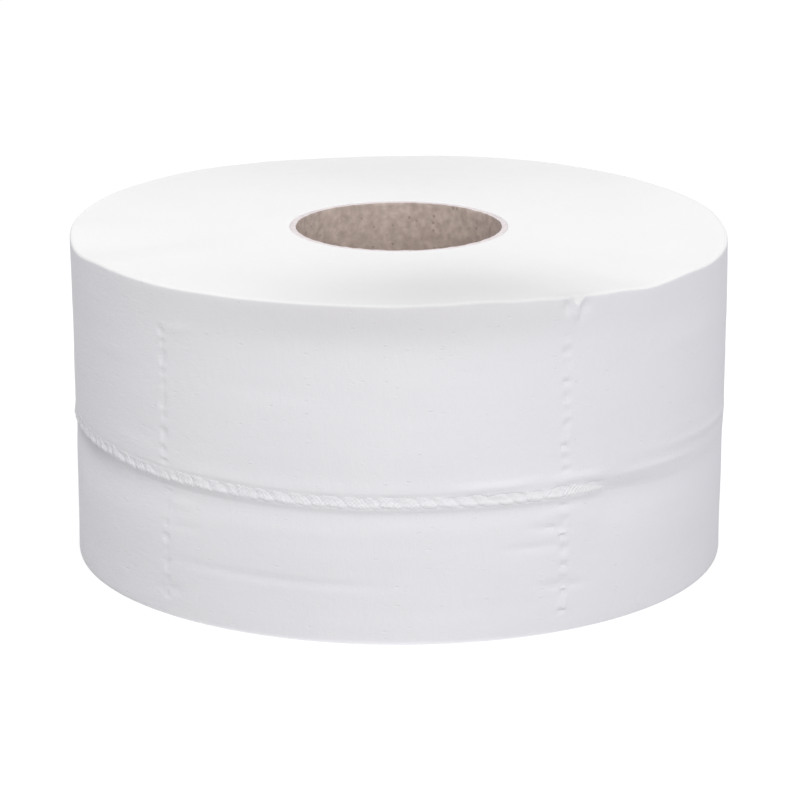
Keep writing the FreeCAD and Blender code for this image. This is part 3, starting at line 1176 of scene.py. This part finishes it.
@dataclass
class CrimpedStrip:
    """The strip of slanting nips that bonds the plies, which lies in its groove like a cord."""

    shape: WoundShape
    points_round: int = 2800
    points_across: int = 34
    half_thickness: float = 0.5
    seat: float = 0.58
    merged_stand: float = 0.34
    dish: float = 0.3
    nip_pitch: float = 5.06
    nip_slant: float = 1.0
    nip_share: float = 0.5
    pillow_height: float = 0.44
    knurl_pitch: float = 0.62
    knurl_height: float = 0.085
    unevenness: float = 2.2
    sway: float = 1.1
    sink: float = 1.1

    def path(self) -> bpy.types.Mesh:
        """The closed line that the strip follows, with its arc length and how far it shows.

        Returns:
            The line, as a mesh with edges only.
        """
        angles = np.arange(self.points_round) * 360.0 / self.points_round - 180.0
        shape = self.shape
        share = shape.crimp_share(angles)
        middle = shape.strip_middle(angles)
        lean_in = shape.narrowing(angles, middle) + shape.rim_flare * bell(-4.0, 30.0, angles)
        stand = self.merged_stand * shape.merge_share(angles)
        radius = shape.base_radius(angles) - self.seat + stand - self.sink * (1.0 - share) - lean_in
        places = cylinder_points(angles, radius, middle)
        mesh = bpy.data.meshes.new("strip_path")
        follow = np.roll(np.arange(self.points_round), -1)
        mesh.from_pydata(places.tolist(), list(zip(range(self.points_round), follow.tolist())), [])
        around = turn_difference(angles, 0.0)
        front_right = smooth_step(2.0, 9.0, around) * smooth_step(30.0, 23.0, around)
        beads = smooth_step(-40.0, -56.0, around) * smooth_step(-110.0, -80.0, around)
        attributes = (
            ("arc", np.radians(angles) * shape.radius * MM),
            ("crimp", share),
            ("knurl", 1.0 - 0.75 * front_right),
            ("depth", np.maximum(self.nip_share, np.maximum(0.85 * front_right, 0.8 * beads))),
        )
        for name, values in attributes:
            attribute = mesh.attributes.new(name, "FLOAT", "POINT")
            attribute.data.foreach_set("value", values.astype(np.float32))
        return mesh

    def numbers(self) -> dict[str, float]:
        """The node tree's numbers by name, with lengths in metres.

        Returns:
            The numbers by input name.
        """
        return {
            "Points Across": self.points_across,
            "Half Thickness": self.half_thickness * MM,
            "Half Width": self.shape.strip_half_width * MM,
            "Dish": self.dish * MM,
            "Nip Pitch": self.nip_pitch * MM,
            "Nip Slant": self.nip_slant,
            "Pillow Height": self.pillow_height * MM,
            "Knurl Pitch": self.knurl_pitch * MM,
            "Knurl Height": self.knurl_height * MM,
            "Unevenness": self.unevenness,
            "Sway": self.sway * MM,
        }

    def tree(self) -> bpy.types.NodeTree:
        """The node tree that sweeps the strip along its path and presses the nips into it.

        Returns:
            The tree.
        """
        maker, entry, leave = new_group(
            "crimped_strip",
            "GeometryNodeTree",
            {"Geometry": "NodeSocketGeometry"} | self.numbers() | {"Material": "NodeSocketMaterial"},
            {"Geometry": "NodeSocketGeometry"},
        )
        line = maker.add("GeometryNodeMeshToCurve", inputs={0: entry["Geometry"]})
        centre = maker.add("GeometryNodeCaptureAttribute", inputs={"Geometry": line.outputs[0]})
        centre.capture_items.new("VECTOR", "Centre")
        maker.tree.links.new(maker.add("GeometryNodeInputPosition").outputs[0], centre.inputs["Centre"])
        circle = maker.add("GeometryNodeCurvePrimitiveCircle", inputs={"Resolution": entry["Points Across"]})
        turn = maker.add("GeometryNodeCaptureAttribute", inputs={"Geometry": circle.outputs[0]})
        turn.capture_items.new("FLOAT", "Turn")
        maker.tree.links.new(maker.add("GeometryNodeSplineParameter").outputs["Factor"], turn.inputs["Turn"])
        sweep = maker.add(
            "GeometryNodeCurveToMesh",
            inputs={"Curve": centre.outputs["Geometry"], "Profile Curve": turn.outputs["Geometry"]},
        )
        middle = centre.outputs["Centre"]
        even = maker.product(turn.outputs["Turn"], 2.0 * math.pi)
        angle = maker.scaled(maker.math("SINE", even), -0.5, even)
        cosine = maker.math("COSINE", angle)
        bluff = maker.math("POWER", maker.math("ABSOLUTE", cosine), 0.55)
        outwards = maker.product(bluff, maker.math("SIGN", cosine))
        sine = maker.math("SINE", angle)
        rise = maker.product(sine, entry["Half Width"])
        arc, crimp, knurl, depth = (maker.named(name) for name in ("arc", "crimp", "knurl", "depth"))
        uneven = maker.noise(middle, 170.0, 3.0)
        off_even = maker.math("SUBTRACT", uneven, 0.5)
        along = maker.scaled(rise, entry["Nip Slant"], arc)
        wander = maker.product(off_even, entry["Unevenness"])
        turns = maker.math("ADD", maker.math("DIVIDE", along, entry["Nip Pitch"]), wander)
        swing = maker.math("ABSOLUTE", maker.math("SINE", maker.product(turns, math.pi)))
        pillow = maker.math("POWER", swing, 0.75)
        spot = maker.vector("ADD", middle, maker.join(0.0, 0.0, rise))
        rough = maker.noise(spot, 900.0, 2.0)
        patch = maker.noise(spot, 340.0, 1.0)
        shallow = maker.scaled(maker.math("SUBTRACT", pillow, 0.85), depth, 0.85)
        fullness = maker.scaled(rough, 1.3, maker.scaled(uneven, 1.2, -0.1))
        pillow_lift = maker.product(shallow, fullness, entry["Pillow Height"])
        knurl_turn = maker.math("DIVIDE", math.pi, entry["Knurl Pitch"])
        warp = maker.product(maker.math("SUBTRACT", patch, 0.5), entry["Knurl Pitch"])
        rising = maker.math("ADD", maker.math("SUBTRACT", arc, rise), warp)
        falling = maker.math("SUBTRACT", maker.math("ADD", arc, rise), warp)
        bias = maker.scaled(uneven, 3.0, -1.5)
        first = maker.math("COSINE", maker.product(rising, knurl_turn))
        second = maker.math("COSINE", maker.product(falling, knurl_turn))
        first = maker.product(first, maker.math("ADD", bias, 0.8))
        second = maker.product(second, maker.math("SUBTRACT", 0.4, bias))
        patchy = maker.math("MAXIMUM", maker.scaled(patch, 4.4, -1.2), 0.0)
        cross = maker.math("SUBTRACT", first, second)
        knurl_lift = maker.product(cross, knurl, patchy, entry["Knurl Height"])
        facing = maker.math("MAXIMUM", outwards, 0.0)
        lift = maker.product(facing, crimp, maker.math("ADD", pillow_lift, knurl_lift))
        off_dish = maker.math("DIVIDE", maker.math("SUBTRACT", sine, 0.32), 0.75)
        hollowed = maker.math("MAXIMUM", maker.scaled(maker.product(off_dish, off_dish), -1.0, 1.0), 0.0)
        dish = maker.product(hollowed, facing, entry["Dish"])
        reach = maker.scaled(outwards, entry["Half Thickness"], maker.math("SUBTRACT", lift, dish))
        x, y, _ = maker.parts(middle)
        radial = maker.vector("NORMALIZE", maker.join(x, y, 0.0))
        pinched = maker.product(rise, maker.scaled(shallow, 0.24, 0.82))
        climb = maker.math("ADD", pinched, maker.product(off_even, entry["Sway"]))
        place = maker.vector("ADD", middle, maker.vector("SCALE", radial, scale=reach))
        place = maker.vector("ADD", place, maker.join(0.0, 0.0, climb))
        moved = maker.add("GeometryNodeSetPosition", inputs={"Geometry": sweep.outputs[0], "Position": place})
        smooth = maker.add("GeometryNodeSetShadeSmooth", inputs={"Geometry": moved.outputs[0]})
        real = maker.add("GeometryNodeRealizeInstances", inputs={"Geometry": smooth.outputs[0]})
        dressed = maker.add(
            "GeometryNodeSetMaterial",
            inputs={"Geometry": real.outputs[0], "Material": entry["Material"]},
        )
        return maker.put_out(leave, {"Geometry": dressed.outputs[0]})

    def build(self, finish: bpy.types.Material) -> bpy.types.Object:
        """Builds the strip.

        Args:
            finish: The tissue's finish.

        Returns:
            The finished piece.
        """
        values = self.numbers() | {"Material": finish}
        piece = run_tree("crimped_strip", self.path(), self.tree(), values)
        turn_outwards(piece.data)
        return settle(piece, PAPER_NODE)


@dataclass
class CoreTube:
    """The spiral-wound cardboard core, with its ply edge inside and slightly rough rims."""

    inner_radius: float
    outer_radius: float
    low: float
    high: float
    columns: int = 360
    rows: int = 96
    edge: float = 0.1
    lining: float = 0.25
    rim_rise: float = 0.22
    ply_lead: float = 92.0
    ply_step: float = 0.12
    rough: SmoothNoise = field(default_factory=lambda: SmoothNoise(83, 120, 60))
    soft: SmoothNoise = field(default_factory=lambda: SmoothNoise(97, 14, 10))

    def build(self, finish: bpy.types.Material, rim: bpy.types.Material) -> bpy.types.Object:
        """Builds the core as one closed tube.

        Args:
            finish: The cardboard's finish.
            rim: The finish of its cut ends.

        Returns:
            The finished piece.
        """
        angles = np.arange(self.columns) * 360.0 / self.columns - 180.0
        top = self.high + self.rim_rise
        inner = self.inner_radius - self.lining
        heights = np.linspace(top - self.edge, self.low + self.edge, self.rows)
        outside = [
            (self.outer_radius, self.low + self.edge, 0),
            (self.outer_radius, top - self.edge, 1),
            (self.outer_radius - self.edge, top, 1),
            (inner + self.edge, top, 1),
        ]
        inside = [(inner, float(height), 0) for height in heights]
        inside[-1] = (inner, float(heights[-1]), 1)
        base = [(inner + self.edge, self.low, 1), (self.outer_radius - self.edge, self.low, 1)]
        rows = np.array(outside + inside + base)
        angle, radius = np.meshgrid(angles, rows[:, 0])
        height = np.repeat(rows[:, 1][:, None], self.columns, axis=1)
        share = (height - self.low) / (self.high - self.low)
        is_inside = np.zeros(len(rows))
        is_inside[len(outside) : len(outside) + len(inside)] = 1.0
        ply = ((height / self.ply_lead - angle / 360.0) % 1.0)
        step = self.ply_step * smooth_step(0.0, 0.012, ply) * smooth_step(0.5, 0.06, ply)
        wave = 0.06 * self.soft.at(angle, share) + 0.02 * self.rough.at(angle, share)
        radius = radius + is_inside[:, None] * (wave - step + 0.06)
        at_rim = smooth_step(top - 0.5, top, height) - smooth_step(self.low + 0.5, self.low, height)
        height = height - at_rim * 0.09 * (1.0 + self.rough.at(angle, np.full_like(height, 0.5)))
        mesh = ring_mesh("core_tube_wall", cylinder_points(angle, radius, height), rows[:, 2].astype(int))
        mesh.materials.append(finish)
        mesh.materials.append(rim)
        return settle(add_piece("core_tube_wall", mesh), CORE_NODE)


@dataclass(frozen=True)
class SoftLamp:
    """A soft square lamp, with its place and side in metres and its power in watts."""

    name: str
    place: tuple[float, float, float]
    side: float
    power: float
    tint: tuple[float, float, float]


@dataclass
class Studio:
    """White floor, soft lamps and the camera at the photograph's place."""

    centre_height: float
    camera_distance: float = 1.1056
    camera_elevation: float = math.radians(15.79)
    lens: float = 170.1
    shift: tuple[float, float] = (0.00157, -0.02125)
    world_strength: float = 0.68
    world_tint: Colour = (0.955, 0.963, 1.0, 1.0)
    plain_white: Colour = (1.0, 1.0, 1.0, 1.0)
    lamps: tuple[SoftLamp, ...] = (
        SoftLamp("key", (0.41, -1.93, 1.2), 1.2, 18.0, (1.0, 0.99, 0.975)),
        SoftLamp("top", (-0.15, 0.05, 1.9), 1.5, 9.0, (1.0, 1.0, 1.0)),
    )
    floor_size: float = 12.0
    floor_glow: float = 0.77
    floor_albedo: float = 0.3
    bounce_albedo: float = 0.55

    def aim(self, thing: bpy.types.Object, place: Vector, target: Vector) -> None:
        """Puts a lamp or a camera in place and points it at a target.

        Args:
            thing: The lamp or camera.
            place: Where it goes.
            target: What it points at.
        """
        thing.location = place
        thing.rotation_mode = "QUATERNION"
        thing.rotation_quaternion = (target - place).to_track_quat("-Z", "Y")

    def light(self, lamp: SoftLamp) -> None:
        """Adds one lamp that points at the roll.

        Args:
            lamp: Which lamp it is, and where it stands.
        """
        data = bpy.data.lights.new(lamp.name, "AREA")
        data.shape = "SQUARE"
        data.size = lamp.side
        data.energy = lamp.power
        data.color = lamp.tint
        light = bpy.data.objects.new(lamp.name, data)
        bpy.context.scene.collection.objects.link(light)
        self.aim(light, Vector(lamp.place), Vector((0.0, 0.0, self.centre_height)))

    def background_rays(self, maker: TreeMaker) -> bpy.types.NodeSocket:
        """1 for the rays that see the background: from the camera, in gloss and through glass.

        Args:
            maker: The tree's maker.

        Returns:
            The output that gives the 1 or the 0.
        """
        rays = maker.add("ShaderNodeLightPath")
        seen = maker.math("MAXIMUM", rays.outputs["Is Camera Ray"], rays.outputs["Is Glossy Ray"])
        return maker.math("MAXIMUM", seen, rays.outputs["Is Transmission Ray"])

    def world(self) -> None:
        """A white world that lights the roll softly and shows as plain white."""
        world = bpy.data.worlds.new("studio_world")
        bpy.context.scene.world = world
        world.use_nodes = True
        world.node_tree.nodes.clear()
        maker = TreeMaker(world.node_tree)
        light, seen = (
            maker.add("ShaderNodeBackground", inputs={"Color": colour, "Strength": strength}).outputs[0]
            for colour, strength in ((self.world_tint, self.world_strength), (self.plain_white, 1.0))
        )
        mix = maker.add("ShaderNodeMixShader", inputs={0: self.background_rays(maker), 1: light, 2: seen})
        maker.put_out(maker.add("ShaderNodeOutputWorld"), {"Surface": mix.outputs[0]})

    def floor(self) -> None:
        """A pale floor that shows white and keeps the roll's soft shadow."""
        half = self.floor_size / 2.0
        mesh = bpy.data.meshes.new("floor")
        corners = [(-half, -half, 0), (half, -half, 0), (half, half, 0), (-half, half, 0)]
        mesh.from_pydata(corners, [], [(0, 1, 2, 3)])
        maker, material, leave = start_material("floor_white")
        bounce, shadow = (
            maker.add("ShaderNodeBsdfDiffuse", inputs={"Color": (albedo, albedo, albedo, 1.0)}).outputs[0]
            for albedo in (self.bounce_albedo, self.floor_albedo)
        )
        glow = {"Color": self.plain_white, "Strength": self.floor_glow}
        glow = maker.add("ShaderNodeEmission", inputs=glow).outputs[0]
        shown = maker.add("ShaderNodeAddShader", inputs={0: shadow, 1: glow}).outputs[0]
        mix = maker.add("ShaderNodeMixShader", inputs={0: self.background_rays(maker), 1: bounce, 2: shown})
        maker.put_out(leave, {"Surface": mix.outputs[0]})
        mesh.materials.append(material)
        add_piece("floor", mesh)

    def camera(self) -> None:
        """The camera at the photograph's distance, height and framing."""
        data = bpy.data.cameras.new("camera")
        data.lens = self.lens
        data.sensor_width = 36.0
        data.shift_x, data.shift_y = self.shift
        data.clip_start = 0.05
        data.clip_end = 50.0
        camera = bpy.data.objects.new("camera", data)
        bpy.context.scene.collection.objects.link(camera)
        target = Vector((0.0, 0.0, self.centre_height))
        back = Vector((0.0, -math.cos(self.camera_elevation), math.sin(self.camera_elevation)))
        self.aim(camera, target + back * self.camera_distance, target)
        bpy.context.scene.camera = camera

    def build(self) -> None:
        """Builds the camera, the lamps, the floor and the world."""
        self.camera()
        for lamp in self.lamps:
            self.light(lamp)
        self.floor()
        self.world()
        bpy.context.scene.view_settings.view_transform = "Standard"
        log.info("studio: camera %.3f m away, %d lamps", self.camera_distance, len(self.lamps))


def main() -> None:
    """Builds the studio and every piece of the roll, in order."""
    logging.basicConfig(level=logging.INFO, format="%(name)s: %(message)s")
    low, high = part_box(PAPER_NODE)
    core_low, core_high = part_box(CORE_NODE)
    mounts = {mount["name"]: mount for mount in frame["record"]["mounts"]}
    width = (high.z - low.z) / MM
    radius = max(high.x, high.y, -low.x, -low.y) / MM
    core_radius = max(core_high.x, core_high.y, -core_low.x, -core_low.y) / MM
    core_bore = mounts["core_bore"]["dims"]["r_mm"]

    Studio(centre_height=(high.z - low.z) / 2.0).build()
    effects = Effects()
    side = TissueFinish(
        "tissue_side",
        patches=(
            # Painted shade: a darker, slightly warm band under the top rim across the front.
            ShadePatch((-0.003, -0.095, 0.0918), (0.044, 0.05, 0.0062), 0.11, (0.17, 0.13, 0.0, 1.0)),
            # Painted shade: a thin darker line at the top edge of the side, at the front.
            ShadePatch((0.016, -0.095, 0.0968), (0.04, 0.05, 0.0014), 0.08),
            # Painted shade: a cool, bluish darkening on the right side.
            ShadePatch((0.095, -0.03, 0.045), (0.05, 0.07, 0.09), 0.12, (0.78, 0.81, 1.0, 1.0)),
            # Painted shade: the hollow under the strip darker at the far left.
            ShadePatch((-0.0905, -0.027, 0.0385), (0.02, 0.012, 0.0022), 0.17),
        ),
        fleck_share=1.05,
    ).build(effects)
    # The strip's tissue, with painted shade on the strip at the far left.
    band = TissueFinish(
        "tissue_band", patches=(ShadePatch((-0.09, -0.03, 0.042), (0.03, 0.045, 0.02), 0.06),)).build(effects)
    ends = TissueFinish(
        "tissue_ends",
        low_colour=(0.878, 0.872, 0.86, 1.0),
        high_colour=(0.91, 0.904, 0.89, 1.0),
        patches=(
            # Painted shade: a darker patch on the top, between the hole and the front rim.
            ShadePatch((0.013, -0.079, 0.095), (0.031, 0.024, 0.004), 0.212),
            # Painted shade in the torn nick at the top edge.
            ShadePatch((0.0478, -0.0816, 0.0938), (0.0036, 0.0036, 0.003), 0.07),
            # Darker and slightly pinkish towards the back of the top.
            ShadePatch((0.0, 0.078, 0.095), (0.055, 0.026, 0.004), 0.075, (0.1, 0.0, 0.0, 1.0)),
            # A patch tinted white, which leaves the colour as it is.
            ShadePatch((-0.062, -0.056, 0.095), (0.04, 0.034, 0.004), 0.3, (1.0, 1.0, 1.0, 1.0)),
        ),
        streak_stretch=1.0,
        ring_scale=1500.0,
        bump_distance=0.00008,
        bump_strength=0.35,
    ).build(effects)
    board = CardboardFinish(
        "core_board",
        # Painted shade: a darker brown band down inside the core.
        patches=(ShadePatch((0.0, 0.0, 0.074), (0.06, 0.06, 0.0075), 0.3, (0.1, 0.06, 0.04, 1.0)),),
    ).build(effects)
    board_rim = CardboardFinish(
        "core_board_rim",
        low_colour=(0.72, 0.655, 0.65, 1.0),
        high_colour=(0.84, 0.78, 0.775, 1.0),
        speck_share=0.25,
    ).build(effects)

    shape = WoundShape(radius=radius, width=width)
    outer = OuterTurns(shape)
    outer.build(side, ends)
    InnerTurns(shape, outer_radius=radius - outer.depth, bore_radius=core_radius + BORE_GAP).build(ends)
    CrimpedStrip(shape).build(band)
    CoreTube(core_bore, core_radius, core_low.z / MM, core_high.z / MM).build(board, board_rim)


if __name__ == "__main__":
    main()
